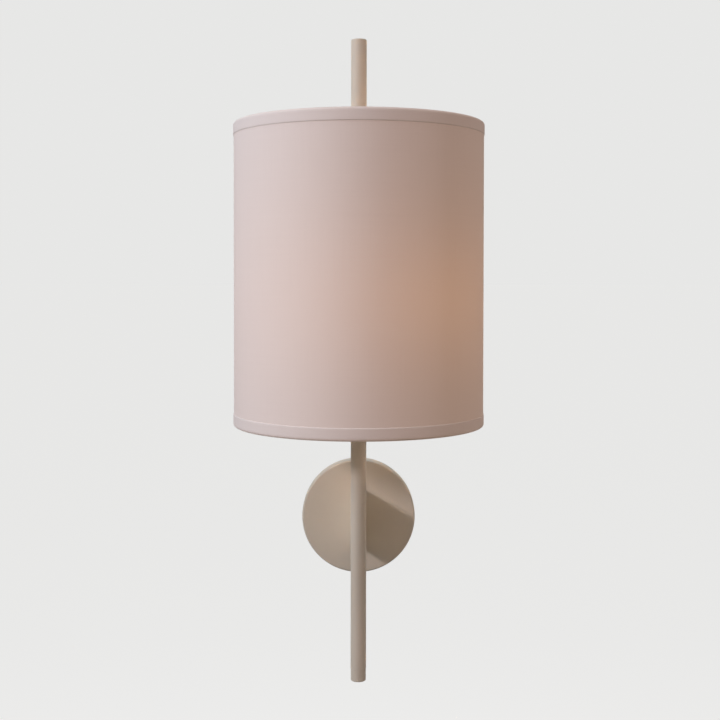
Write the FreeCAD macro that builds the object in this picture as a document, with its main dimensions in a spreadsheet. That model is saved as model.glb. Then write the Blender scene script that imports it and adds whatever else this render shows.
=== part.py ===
"""Wall light with a fabric drum shade on a long upright rod.

Frame: origin in the wall plane at the centre of the canopy, +X to the right seen from the room,
+Y into the wall, +Z up. All lengths are millimetres.
"""
import FreeCAD, Part
import Sketcher
import math
import os
import re

os.makedirs("parts", exist_ok=True)
doc = FreeCAD.newDocument("wall_light")
Vector = FreeCAD.Vector
Rotation = FreeCAD.Rotation

# ---------------------------------------------------------------- driving sizes
SIZES = {
    # rod
    "rod_reach": 138.0,            # wall to rod axis
    "rod_radius": 7.94,
    "rod_wall": 1.5,
    "rod_top": 510.1,              # height of the rod's upper end above the canopy centre
    "rod_foot": 131.5,             # depth of the tube's lower end below the canopy centre
    "rod_edge": 1.0,               # rounding of the rod's upper end
    "plug_length": 12.0,
    "end_cap_radius": 7.72,
    "end_cap_height": 12.0,
    "end_cap_bevel": 0.4,
    "spigot_length": 14.0,
    "wire_port_radius": 3.6,       # hole in the rod where the leads come in
    # canopy and bracket
    "canopy_radius": 63.5,
    "canopy_depth": 19.3,
    "canopy_wall": 1.5,
    "canopy_edge": 2.0,            # rounding of the canopy's front edge
    "canopy_hole_radius": 5.5,
    "box_screw_spacing": 88.9,     # between the wall box's two screws
    "box_screw_hole_radius": 2.4,
    "bracket_thickness": 2.0,
    "bracket_bar_length": 110.0,
    "bracket_bar_width": 24.0,
    "bracket_hole_radius": 7.0,
    "tab_width": 16.0,
    "tab_depth": 14.0,
    "tab_thickness": 2.5,
    "tab_inset": 0.9,              # tab's outer face inside the canopy's inner wall
    "canopy_screw_depth": 8.0,     # canopy screws' distance from the wall
    "ground_screw_drop": 34.0,
    "bushing_bore_radius": 3.2,
    "bushing_flange_radius": 7.0,
    "bushing_flange": 1.0,
    # arm
    "arm_width": 12.0,
    "arm_height": 62.0,
    "arm_wall": 1.5,
    "arm_edge": 0.8,
    "anchor_depth": 8.0,
    "anchor_gap": 0.1,
    "arm_screw_spacing": 36.0,
    "arm_screw_radius": 2.45,
    "washer_radius": 5.0,
    "washer_thickness": 1.0,
    # small screws
    "small_screw_radius": 1.95,
    "small_head_radius": 3.5,
    "small_head_height": 2.2,
    "thread_gap": 0.05,
    "close_gap": 0.03,             # between pieces of one assembly that are pressed or glued
    "seat_gap": 0.3,               # between pieces that move apart
    # lamp holder
    "lamp_height": 158.0,          # axis of the side arm
    "lamp_offset": 50.0,           # rod axis to socket axis
    "lamp_bearing": 40.0,          # side arm's turn from the front towards +X, degrees
    "collar_radius": 13.0,
    "collar_height": 18.0,
    "lamp_arm_radius": 5.0,
    "lamp_arm_bore": 3.1,
    "lamp_arm_seat": 6.0,          # how far the side arm stays outside each axis it joins
    "block_radius": 11.0,
    "block_height": 16.0,
    "nipple_radius": 5.0,
    "nipple_bore": 3.5,
    "nipple_stand": 6.0,           # nipple above the block's top
    "nut_radius": 8.5,
    "nut_height": 3.0,
    "socket_radius": 19.0,
    "socket_wall": 0.8,
    "socket_cap_height": 14.0,
    "socket_height": 50.0,
    "sleeve_wall": 0.6,
    "base_level": 14.0,            # socket's inner base above the block's top
    "base_thickness": 8.0,
    "screw_shell_radius": 13.4,
    "screw_shell_wall": 0.5,
    "screw_shell_height": 24.0,
    "contact_radius": 3.0,
    "contact_height": 1.5,
    "terminal_spread": 12.5,
    # bulb
    "bulb_radius": 30.0,
    "bulb_length": 108.0,
    "bulb_cap_radius": 13.0,
    "bulb_cap_height": 22.0,
    "bulb_cap_wall": 0.4,
    "bulb_tip_radius": 4.5,
    "bulb_tip_height": 1.5,
    "bulb_glass_wall": 0.8,
    "filament_radius": 0.9,
    "filament_length": 36.0,
    "filament_ring": 8.0,
    # leads
    "lead_radius": 1.05,
    "lead_offset": 1.5,
    "connector_radius": 6.0,
    "connector_length": 20.0,
    "connector_spread": 24.0,
    "connector_level": 26.0,
    "connector_depth": 12.0,       # how deep a lead's end sits in its connector
    "lead_plane": 9.0,             # leads' distance from the wall inside the canopy
    "lead_bend": 5.0,              # in the canopy and into the arm
    "lead_rod_bend": 6.5,          # from the arm up the rod
    "lead_lamp_bend": 6.0,         # from the rod into the side arm
    "lead_nipple_bend": 4.0,       # from the side arm up the nipple
    "lead_end_bend": 2.0,          # under the socket's base
    "lead_end_run": 3.0,           # straight ends at the socket's terminals
    "ground_wire_radius": 0.735,
    "ground_wire_bend": 3.0,
    "ground_wire_end": 4.0,        # ground wire past the middle of what it is clamped by
    # shade
    "shade_bottom": 119.5,
    "shade_height": 304.8,
    "shade_radius": 127.0,         # outside of the hems
    "hem_height": 12.5,
    "hem_flap": 8.0,
    "hem_thickness": 0.58,
    "hem_fold": 2.6,
    "fabric_thickness": 0.5,
    "liner_thickness": 0.6,
    "ring_wire_radius": 1.5,
    "spoke_radius": 1.75,
    "spoke_bearing": 0.0,
    "hub_drop": 24.0,              # hub's middle below the shade's top
    "hub_radius": 12.0,
    "hub_height": 14.0,
    "hub_edge": 1.0,
    "hub_running_gap": 0.05,
    "spoke_seat": 3.5,
    "stop_radius": 12.0,
    "stop_height": 9.0,
    "thumb_radius": 2.45,
    "thumb_head_radius": 7.0,
    "thumb_head_height": 8.0,
    "thumb_head_stand": 2.0,
    "thumb_knurls": 18.0,
    "knurl_radius": 0.6,
}

sheet = doc.addObject("Spreadsheet::Sheet", "sizes")
for row, (alias, size) in enumerate(SIZES.items(), start=1):
    sheet.set("A%d" % row, str(size))
    sheet.setAlias("A%d" % row, alias)
doc.recompute()

# ---------------------------------------------------------------- names for derived sizes
ROD_BORE = "(rod_radius - rod_wall)"
CANOPY_BORE = "(canopy_radius - canopy_wall)"
CANOPY_FLOOR = "(canopy_depth - canopy_wall)"
TAB_REACH = "(sqrt((canopy_radius - canopy_wall) ^ 2 - (tab_width / 2) ^ 2) - tab_inset / 2)"
SOCKET_X = "(lamp_offset * sin(lamp_bearing))"
SOCKET_Y = "(-rod_reach - lamp_offset * cos(lamp_bearing))"
SOCKET_FOOT = "(lamp_height + block_height / 2)"
SHELL_RADIUS = "(socket_radius - socket_wall - close_gap)"
SLEEVE_RADIUS = "(socket_radius - 2 * socket_wall - 2 * close_gap)"
BULB_FOOT = ("(lamp_height + block_height / 2 + base_level + base_thickness"
             " + contact_height + seat_gap)")
SHADE_TOP = "(shade_bottom + shade_height)"
FABRIC_RADIUS = "(shade_radius - hem_thickness - close_gap)"
LINER_RADIUS = "(shade_radius - hem_thickness - fabric_thickness - 2 * close_gap)"
RING_RADIUS = ("(shade_radius - hem_thickness - fabric_thickness - liner_thickness"
               " - ring_wire_radius - 3 * close_gap)")
FLAP_RADIUS = ("(shade_radius - hem_thickness - fabric_thickness - liner_thickness"
               " - 2 * ring_wire_radius - 4 * close_gap)")
RING_DROP = "(hem_fold + seat_gap)"
HUB_LEVEL = "(shade_bottom + shade_height - hub_drop)"
STOP_TOP = "(shade_bottom + shade_height - hub_drop - hub_height / 2)"
SPOKES = 3


def expr(text):
    """Point each size name in an expression at its cell."""
    swap = lambda found: "sizes." + found.group() if found.group() in SIZES else found.group()
    return re.sub(r"[a-z][a-z_]*", swap, str(text))


def value(text):
    """The number that an expression gives."""
    return float(sheet.evalExpression(expr(text)))


def bind(thing, **expressions):
    for name, text in expressions.items():
        thing.setExpression(name, expr(text))


def place(thing, x="0", y="0", z="0", turn=None):
    thing.Placement = FreeCAD.Placement(Vector(), turn or Rotation())
    for axis, text in (("x", x), ("y", y), ("z", z)):
        thing.setExpression("Placement.Base." + axis, expr(text))
    return thing


# ---------------------------------------------------------------- directions
TO_ROOM = Rotation(Vector(1, 0, 0), 90)        # local +Z points out of the wall, local +Y up
LAMP_WAY = Vector(math.sin(math.radians(value("lamp_bearing"))),
                  -math.cos(math.radians(value("lamp_bearing"))), 0)
LAMP_SIDE = Vector(-LAMP_WAY.y, LAMP_WAY.x, 0)


def facing(direction):
    """The turn that takes local +Z to a direction."""
    return Rotation(Vector(0, 0, 1), direction)


def bearing(degrees):
    return Vector(math.cos(math.radians(degrees)), math.sin(math.radians(degrees)), 0)


# ---------------------------------------------------------------- ways to make a piece
def plane_of(body, role):
    return next(item for item in body.Origin.OriginFeatures if item.Role == role)


def outline(body, name, corners, role="XZ_Plane"):
    """A closed sketch whose corners are held by expressions for their two coordinates."""
    sketch = body.newObject("Sketcher::SketchObject", name)
    sketch.AttachmentSupport = [(plane_of(body, role), "")]
    sketch.MapMode = "FlatFace"
    spots = [Vector(value(across), value(along), 0) for across, along in corners]
    for index, spot in enumerate(spots):
        sketch.addGeometry(Part.LineSegment(spot, spots[(index + 1) % len(spots)]))
    for index in range(len(spots)):
        following = (index + 1) % len(spots)
        sketch.addConstraint(Sketcher.Constraint("Coincident", index, 2, following, 1))
    for index, (across, along) in enumerate(corners):
        for kind, text, spot in (("DistanceX", across, spots[index].x),
                                 ("DistanceY", along, spots[index].y)):
            number = sketch.addConstraint(Sketcher.Constraint(kind, -1, 1, index, 1, spot))
            sketch.setExpression("Constraints[%d]" % number, expr(text))
    return sketch


def rounded(body, feature, rounds):
    """Round circular edges, each found by its radius and height."""
    for count, (radius, height, size) in enumerate(rounds):
        doc.recompute()
        names = []
        for index, edge in enumerate(feature.Shape.Edges, start=1):
            if not isinstance(edge.Curve, Part.Circle):
                continue
            near = abs(edge.Curve.Radius - value(radius)) < 1e-4
            if near and abs(edge.Curve.Center.z - value(height)) < 1e-4:
                names.append("Edge%d" % index)
        fillet = body.newObject("PartDesign::Fillet", "%s_round_%d" % (body.Label, count))
        fillet.Base = (feature, names)
        bind(fillet, Radius=size)
        feature = fillet
    body.Tip = feature


def turned(label, corners, rounds=(), **where):
    """A piece turned about its own Z axis from an outline of (radius, height) corners."""
    body = doc.addObject("PartDesign::Body", label)
    body.Label = label
    sketch = outline(body, label + "_outline", corners)
    turn = body.newObject("PartDesign::Revolution", label + "_turn")
    turn.Profile = sketch
    turn.ReferenceAxis = (sketch, ["V_Axis"])
    turn.Angle = 360
    rounded(body, turn, rounds)
    return place(body, **where)


def tube_corners(inner, outer, low, high):
    return [(inner, low), (outer, low), (outer, high), (inner, high)]


def box(name, length, width, height, **where):
    """A box from its corner."""
    item = doc.addObject("Part::Box", name)
    bind(item, Length=length, Width=width, Height=height)
    return place(item, **where)


def rod(name, radius, height, **where):
    item = doc.addObject("Part::Cylinder", name)
    bind(item, Radius=radius, Height=height)
    return place(item, **where)


def joined(name, shapes):
    item = doc.addObject("Part::MultiFuse", name)
    item.Shapes = shapes
    item.Refine = True
    return item


def cut(label, base, tools):
    item = doc.addObject("Part::Cut", label)
    item.Label = label
    item.Base = base
    item.Tool = tools[0] if len(tools) == 1 else joined(label + "_cuts", tools)
    return item


def group(label, pieces):
    item = doc.addObject("Part::Compound", label)
    item.Label = label
    item.Links = pieces
    return item


def screw(name, shank, length, head, head_height, drive, **where):
    """A round-headed screw with a hexagonal drive; its tip is at the local origin."""
    top = "%s + %s" % (length, head_height)
    blank = turned(name + "_blank", [("0", "0"), (shank, "0"), (shank, length), (head, length),
                                     (head, top), ("0", top)], **where)
    hexagon = doc.addObject("Part::Prism", name + "_drive")
    hexagon.Polygon = 6
    bind(hexagon, Circumradius=drive, Height=head_height)
    sink = "(%s + %s / 3)" % (length, head_height)
    turn = where.get("turn") or Rotation()
    way = turn.multVec(Vector(0, 0, 1))
    spots = {axis: "%s + (%.9f) * %s" % (where.get(axis, "0"), getattr(way, axis), sink)
             for axis in ("x", "y", "z")}
    place(hexagon, turn=turn, **spots)
    return cut(name, blank, [hexagon])


def bent_wire(points, bends):
    """Straight runs through the points, joined by tangent arcs of the given radii."""
    edges = []
    start = points[0]
    for before, corner, after, radius in zip(points, points[1:], points[2:], bends):
        back = (before - corner).normalize()
        ahead = (after - corner).normalize()
        half = back.getAngle(ahead) / 2
        reach = radius / math.tan(half)
        first = corner + back * reach
        last = corner + ahead * reach
        middle_way = (back + ahead).normalize()
        middle = corner + middle_way * (radius / math.sin(half) - radius)
        edges.append(Part.LineSegment(start, first).toShape())
        edges.append(Part.Arc(first, middle, last).toShape())
        start = last
    edges.append(Part.LineSegment(start, points[-1]).toShape())
    return Part.Wire(edges)


def lead(label, points, bends, radius):
    """A round lead along a bent route, its volume compared with section times length."""
    route = bent_wire(points, bends)
    way = (points[1] - points[0]).normalize()
    ring = Part.Wire([Part.makeCircle(radius, points[0], way)])
    shape = route.makePipeShell([ring], True, False)
    ratio = shape.Volume / (math.pi * radius ** 2 * route.Length)
    print("%s: length %.1f, volume ratio %.4f" % (label, route.Length, ratio))
    item = doc.addObject("Part::Feature", label)
    item.Label = label
    item.Shape = shape
    return item


# ---------------------------------------------------------------- wall bracket
def wall_bracket():
    bar = box("bracket_bar", "bracket_bar_length", "bracket_thickness", "bracket_bar_width",
              x="-bracket_bar_length / 2", y="-bracket_thickness", z="-bracket_bar_width / 2")
    upright = box("bracket_upright", "bracket_bar_width", "bracket_thickness",
                  "2 * %s - 2 * tab_thickness" % TAB_REACH, x="-bracket_bar_width / 2",
                  y="-bracket_thickness", z="tab_thickness - " + TAB_REACH)
    tabs = [box("bracket_tab_upper", "tab_width", "tab_depth", "tab_thickness",
                x="-tab_width / 2", y="-tab_depth", z=TAB_REACH + " - tab_thickness"),
            box("bracket_tab_lower", "tab_width", "tab_depth", "tab_thickness",
                x="-tab_width / 2", y="-tab_depth", z="-" + TAB_REACH)]
    holes = [rod("bracket_centre_hole", "bracket_hole_radius", "3 * bracket_thickness",
                 y="bracket_thickness", turn=TO_ROOM)]
    for side in (-1, 1):
        holes.append(rod("box_screw_hole", "box_screw_hole_radius", "3 * bracket_thickness",
                         x="%d * box_screw_spacing / 2" % side, y="bracket_thickness",
                         turn=TO_ROOM))
    holes.append(rod("ground_hole", "small_screw_radius + thread_gap", "3 * bracket_thickness",
                     y="bracket_thickness", z="-ground_screw_drop", turn=TO_ROOM))
    holes.append(rod("tab_holes", "small_screw_radius + thread_gap", "3 * canopy_radius",
                     y="-canopy_screw_depth", z="-1.5 * canopy_radius"))
    return cut("wall_bracket", joined("bracket_blank", [bar, upright] + tabs), holes)


def canopy():
    cup = turned("canopy_cup",
                 [("canopy_hole_radius", CANOPY_FLOOR), (CANOPY_BORE, CANOPY_FLOOR),
                  (CANOPY_BORE, "0"), ("canopy_radius", "0"), ("canopy_radius", "canopy_depth"),
                  ("canopy_hole_radius", "canopy_depth")],
                 rounds=[("canopy_radius", "canopy_depth", "canopy_edge"),
                         (CANOPY_BORE, CANOPY_FLOOR, "canopy_edge / 4")], turn=TO_ROOM)
    holes = [rod("canopy_screw_holes", "small_screw_radius + seat_gap", "3 * canopy_radius",
                 y="-canopy_screw_depth", z="-1.5 * canopy_radius")]
    for side in (-1, 1):
        holes.append(rod("arm_screw_hole", "arm_screw_radius + seat_gap", "canopy_depth",
                         y="-canopy_depth / 2", z="%d * arm_screw_spacing / 2" % side,
                         turn=TO_ROOM))
    return cut("canopy", cup, holes)


def canopy_screws():
    length = "canopy_wall + tab_inset + tab_thickness + 1.5 * canopy_wall"
    pieces = []
    for name, side in (("upper", 1), ("lower", -1)):
        pieces.append(screw("canopy_screw_" + name, "small_screw_radius", length,
                            "small_head_radius", "small_head_height", "small_screw_radius * 0.6",
                            y="-canopy_screw_depth",
                            z="%d * (canopy_radius + close_gap - (%s))" % (side, length),
                            turn=Rotation() if side > 0 else Rotation(Vector(1, 0, 0), 180)))
    return group("canopy_screws", pieces)


def ground_screw():
    length = "bracket_thickness + 2 * lead_radius + 1.5 * bracket_thickness"
    return screw("ground_screw", "small_screw_radius", length, "small_head_radius",
                 "small_head_height", "small_screw_radius * 0.6",
                 y="1.5 * bracket_thickness", z="-ground_screw_drop",
                 turn=TO_ROOM)


def canopy_bushing():
    return turned("canopy_bushing",
                  [("bushing_bore_radius", CANOPY_FLOOR + " - bushing_flange"),
                   ("bushing_flange_radius", CANOPY_FLOOR + " - bushing_flange"),
                   ("bushing_flange_radius", CANOPY_FLOOR),
                   ("canopy_hole_radius - close_gap", CANOPY_FLOOR),
                   ("canopy_hole_radius - close_gap", "canopy_depth"),
                   ("bushing_bore_radius", "canopy_depth")], turn=TO_ROOM)


# ---------------------------------------------------------------- arm from canopy to rod
def arm():
    blank = box("arm_blank", "arm_width", "rod_reach - canopy_depth", "arm_height",
                x="-arm_width / 2", y="-rod_reach", z="-arm_height / 2")
    doc.recompute()
    soft = doc.addObject("Part::Fillet", "arm_soft")
    soft.Base = blank
    long_edges = [number for number, edge in enumerate(blank.Shape.Edges, start=1)
                  if abs(edge.tangentAt(edge.FirstParameter).y) > 0.99]
    soft.Edges = [(number, value("arm_edge"), value("arm_edge")) for number in long_edges]
    hollow = box("arm_hollow", "arm_width - 2 * arm_wall", "rod_reach",
                 "arm_height - 2 * arm_wall", x="-arm_width / 2 + arm_wall",
                 y="-rod_reach", z="-arm_height / 2 + arm_wall")
    cope = rod("arm_cope", "rod_radius + close_gap", "2 * arm_height", y="-rod_reach",
               z="-arm_height")
    return cut("arm", soft, [hollow, cope])


def arm_anchor():
    block = box("anchor_block", "arm_width - 2 * arm_wall - 2 * anchor_gap", "anchor_depth",
                "arm_height - 2 * arm_wall - 2 * anchor_gap",
                x="-arm_width / 2 + arm_wall + anchor_gap", y="-canopy_depth - anchor_depth",
                z="-arm_height / 2 + arm_wall + anchor_gap")
    holes = [rod("anchor_wire_hole", "bushing_bore_radius", "3 * anchor_depth",
                 y="-canopy_depth + anchor_depth", turn=TO_ROOM)]
    for side in (-1, 1):
        holes.append(rod("anchor_tapped_hole", "arm_screw_radius + thread_gap",
                         "3 * anchor_depth", y="-canopy_depth + anchor_depth",
                         z="%d * arm_screw_spacing / 2" % side, turn=TO_ROOM))
    return cut("arm_anchor", block, holes)


def arm_fasteners():
    screws = []
    washers = []
    length = "canopy_wall + washer_thickness + anchor_depth"
    for name, side in (("upper", 1), ("lower", -1)):
        level = "%d * arm_screw_spacing / 2" % side
        screws.append(screw("arm_screw_" + name, "arm_screw_radius", length,
                            "1.8 * arm_screw_radius", "1.2 * arm_screw_radius",
                            "0.7 * arm_screw_radius", y="-canopy_depth - anchor_depth", z=level,
                            turn=Rotation(Vector(1, 0, 0), -90)))
        washers.append(turned("arm_washer_" + name,
                              tube_corners("arm_screw_radius + thread_gap", "washer_radius",
                                           CANOPY_FLOOR + " - washer_thickness", CANOPY_FLOOR),
                              z=level, turn=TO_ROOM))
    return [group("arm_screws", screws), group("arm_washers", washers)]


# ---------------------------------------------------------------- rod
def rod_tube():
    blank = turned("rod_blank", tube_corners(ROD_BORE, "rod_radius", "-rod_foot", "rod_top"),
                   rounds=[("rod_radius", "rod_top", "rod_edge"),
                           ("rod_radius", "-rod_foot", "end_cap_bevel")], y="-rod_reach")
    holes = [rod("rod_wire_port", "wire_port_radius", "rod_radius + rod_wall",
                 y="-rod_reach + rod_radius + rod_wall", turn=TO_ROOM),
             rod("rod_lamp_port", "lamp_arm_bore", "rod_radius + rod_wall", y="-rod_reach",
                 z="lamp_height", turn=facing(LAMP_WAY))]
    return cut("rod_tube", blank, holes)


def rod_ends():
    plug = turned("rod_top_plug",
                  [("0", "rod_top - plug_length"), (ROD_BORE + " - close_gap",
                                                    "rod_top - plug_length"),
                   (ROD_BORE + " - close_gap", "rod_top"), ("0", "rod_top")],
                  rounds=[(ROD_BORE + " - close_gap", "rod_top", "end_cap_bevel")],
                  y="-rod_reach")
    cap = turned("rod_end_cap",
                 [("0", "-rod_foot - end_cap_height"),
                  ("end_cap_radius", "-rod_foot - end_cap_height"),
                  ("end_cap_radius", "-rod_foot"), (ROD_BORE + " - close_gap", "-rod_foot"),
                  (ROD_BORE + " - close_gap", "-rod_foot + spigot_length"),
                  ("0", "-rod_foot + spigot_length")],
                 rounds=[("end_cap_radius", "-rod_foot - end_cap_height", "rod_edge"),
                         ("end_cap_radius", "-rod_foot", "end_cap_bevel")], y="-rod_reach")
    return [plug, cap]


# ---------------------------------------------------------------- lamp holder
def along_lamp(distance):
    """Expressions for a point on the side arm's line, at a distance from the rod's axis."""
    return {"x": "(%s) * sin(lamp_bearing)" % distance,
            "y": "-rod_reach - (%s) * cos(lamp_bearing)" % distance}


def lamp_collar():
    ring = turned("collar_blank",
                  tube_corners("rod_radius + close_gap", "collar_radius", "-collar_height / 2",
                               "collar_height / 2"),
                  rounds=[("collar_radius", "-collar_height / 2", "hub_edge"),
                          ("collar_radius", "collar_height / 2", "hub_edge")],
                  y="-rod_reach", z="lamp_height")
    holes = [rod("collar_port", "lamp_arm_radius + close_gap", "2 * collar_radius",
                 y="-rod_reach", z="lamp_height", turn=facing(LAMP_WAY)),
             rod("collar_screw_hole", "small_screw_radius + thread_gap", "2 * collar_radius",
                 y="-rod_reach", z="lamp_height", turn=facing(LAMP_WAY * -1))]
    return cut("lamp_collar", ring, holes)


def set_screw(label, tip, reach, level, way):
    """A set screw from near the rod's surface to a collar's outside."""
    blank = turned(label + "_blank", [("0", tip), ("small_screw_radius", tip),
                                      ("small_screw_radius", reach), ("0", reach)],
                   y="-rod_reach", z=level, turn=facing(way))
    hexagon = doc.addObject("Part::Prism", label + "_drive")
    hexagon.Polygon = 6
    bind(hexagon, Circumradius="small_screw_radius * 0.6", Height="small_head_height")
    place(hexagon, x="%.9f * (%s - small_head_height)" % (way.x, reach),
          y="-rod_reach + (%.9f) * (%s - small_head_height)" % (way.y, reach), z=level,
          turn=facing(way))
    return cut(label, blank, [hexagon])


def lamp_arm():
    return turned("lamp_arm",
                  tube_corners("lamp_arm_bore", "lamp_arm_radius",
                               "rod_radius + seat_gap", "lamp_offset - lamp_arm_seat"),
                  y="-rod_reach", z="lamp_height", turn=facing(LAMP_WAY))


def lamp_block():
    blank = turned("block_blank",
                   [("0", "-block_height / 2"), ("block_radius", "-block_height / 2"),
                    ("block_radius", "block_height / 2"), ("0", "block_height / 2")],
                   rounds=[("block_radius", "-block_height / 2", "hub_edge")],
                   x=SOCKET_X, y=SOCKET_Y, z="lamp_height")
    start = along_lamp("lamp_offset - lamp_arm_seat + close_gap")
    holes = [rod("block_port", "lamp_arm_radius + close_gap", "2 * block_radius",
                 z="lamp_height", turn=facing(LAMP_WAY * -1), **start),
             rod("block_bore", "lamp_arm_bore", "lamp_arm_seat + lamp_arm_bore",
                 z="lamp_height", turn=facing(LAMP_WAY), **start),
             rod("block_well", "nipple_bore", "block_height", x=SOCKET_X, y=SOCKET_Y,
                 z="lamp_height - nipple_bore"),
             rod("block_thread", "nipple_radius + close_gap", "block_height", x=SOCKET_X,
                 y=SOCKET_Y, z="lamp_height + nipple_bore")]
    return cut("lamp_block", blank, holes)


def socket_pieces():
    """The nipple, nut and the lamp socket's shells, base and contacts."""
    where = {"x": SOCKET_X, "y": SOCKET_Y, "z": SOCKET_FOOT}
    nipple = turned("socket_nipple",
                    tube_corners("nipple_bore", "nipple_radius",
                                 "nipple_bore - block_height / 2 + close_gap", "nipple_stand"),
                    **where)
    hexagon = doc.addObject("Part::Prism", "nut_blank")
    hexagon.Polygon = 6
    bind(hexagon, Circumradius="nut_radius", Height="nut_height")
    place(hexagon, x=SOCKET_X, y=SOCKET_Y, z=SOCKET_FOOT + " + socket_wall + close_gap")
    nut = cut("nipple_nut", hexagon,
              [rod("nut_hole", "nipple_radius + close_gap", "3 * nut_height", x=SOCKET_X,
                   y=SOCKET_Y, z=SOCKET_FOOT + " - nut_height")])
    cap = turned("socket_cap",
                 [("nipple_radius + close_gap", "0"), ("socket_radius", "0"),
                  ("socket_radius", "socket_cap_height"),
                  ("socket_radius - socket_wall", "socket_cap_height"),
                  ("socket_radius - socket_wall", "socket_wall"),
                  ("nipple_radius + close_gap", "socket_wall")],
                 rounds=[("socket_radius", "0", "4 * socket_wall"),
                         ("socket_radius - socket_wall", "socket_wall", "3 * socket_wall")],
                 **where)
    shell = turned("socket_shell",
                   tube_corners(SHELL_RADIUS + " - socket_wall", SHELL_RADIUS,
                                "socket_cap_height / 2", "socket_height"), **where)
    sleeve = turned("socket_sleeve",
                    tube_corners(SLEEVE_RADIUS + " - sleeve_wall - close_gap",
                                 SLEEVE_RADIUS + " - close_gap",
                                 "socket_cap_height / 2", "socket_height - socket_wall"),
                    **where)
    base_radius = SLEEVE_RADIUS + " - sleeve_wall - 2 * close_gap"
    base_blank = turned("base_blank",
                        [("0", "base_level"), (base_radius, "base_level"),
                         (base_radius, "base_level + base_thickness"),
                         ("0", "base_level + base_thickness")], **where)
    holes = []
    heads = []
    for name, side in (("line", 1), ("neutral", -1)):
        spot = {"x": "%s + (%.9f) * terminal_spread" % (SOCKET_X, side * LAMP_SIDE.x),
                "y": "%s + (%.9f) * terminal_spread" % (SOCKET_Y, side * LAMP_SIDE.y)}
        holes.append(rod("terminal_hole_" + name, "small_screw_radius", "base_thickness / 2",
                         z=SOCKET_FOOT + " + base_level", **spot))
        heads.append(screw("terminal_screw_" + name, "small_screw_radius - thread_gap",
                           "base_thickness / 2", "small_screw_radius + seat_gap",
                           "small_head_height", "small_screw_radius * 0.6",
                           z=SOCKET_FOOT + " + base_level + base_thickness / 2 - thread_gap",
                           turn=Rotation(Vector(1, 0, 0), 180), **spot))
    base = cut("socket_base", base_blank, holes)
    threads = turned("socket_screw_shell",
                     tube_corners("screw_shell_radius", "screw_shell_radius + screw_shell_wall",
                                  "base_level + base_thickness",
                                  "base_level + base_thickness + screw_shell_height"), **where)
    contact = turned("socket_contact",
                     [("0", "base_level + base_thickness"),
                      ("contact_radius", "base_level + base_thickness"),
                      ("contact_radius", "base_level + base_thickness + contact_height"),
                      ("0", "base_level + base_thickness + contact_height")], **where)
    return [nipple, nut, cap, shell, sleeve, base, threads, contact,
            group("terminal_screws", heads)]


# ---------------------------------------------------------------- bulb
def bulb_glass():
    """A pear-shaped thin glass envelope, turned from arcs and closed at its crown."""
    radius = value("bulb_radius")
    wall = value("bulb_glass_wall")
    neck = value("bulb_cap_radius - bulb_cap_wall - close_gap")
    foot = value("bulb_tip_height + bulb_cap_height * 0.7")
    crown = value("bulb_length")
    middle = crown - radius
    throat = value("bulb_tip_height + bulb_cap_height * 1.3")

    def skin(inset):
        """Neck, shoulder and globe of one side of the wall, as edges from foot to crown."""
        globe = radius - inset
        slim = neck - inset
        # the shoulder is an arc tangent to the globe: its centre lies outside the neck
        drop = middle - throat
        bulge = (drop ** 2 + slim ** 2 - globe ** 2) / (2 * (globe - slim))
        way = Vector(slim + bulge, 0, throat) - Vector(0, 0, middle)
        touch = Vector(0, 0, middle) + way * (globe / way.Length)
        centre = Vector(slim + bulge, 0, throat)
        half_way = (Vector(slim, 0, throat) + touch) * 0.5 - centre
        mid_shoulder = centre + half_way * (bulge / half_way.Length)
        angle = (math.atan2(touch.z - middle, touch.x) + math.pi / 2) / 2
        mid_globe = Vector(globe * math.cos(angle), 0, middle + globe * math.sin(angle))
        top = Vector(0, 0, middle + globe)
        return [Part.LineSegment(Vector(slim, 0, foot), Vector(slim, 0, throat)).toShape(),
                Part.Arc(Vector(slim, 0, throat), mid_shoulder, touch).toShape(),
                Part.Arc(touch, mid_globe, top).toShape()], top

    outer, outer_top = skin(0.0)
    inner, inner_top = skin(wall)
    foot_edge = Part.LineSegment(Vector(neck, 0, foot), Vector(neck - wall, 0, foot)).toShape()
    crown_edge = Part.LineSegment(outer_top, inner_top).toShape()
    edges = Part.sortEdges(outer + inner + [foot_edge, crown_edge])[0]
    face = Part.Face(Part.Wire(edges))
    item = doc.addObject("Part::Feature", "bulb_glass")
    item.Label = "bulb_glass"
    item.Shape = face.revolve(Vector(), Vector(0, 0, 1), 360)
    return place(item, x=SOCKET_X, y=SOCKET_Y, z=BULB_FOOT)


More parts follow.
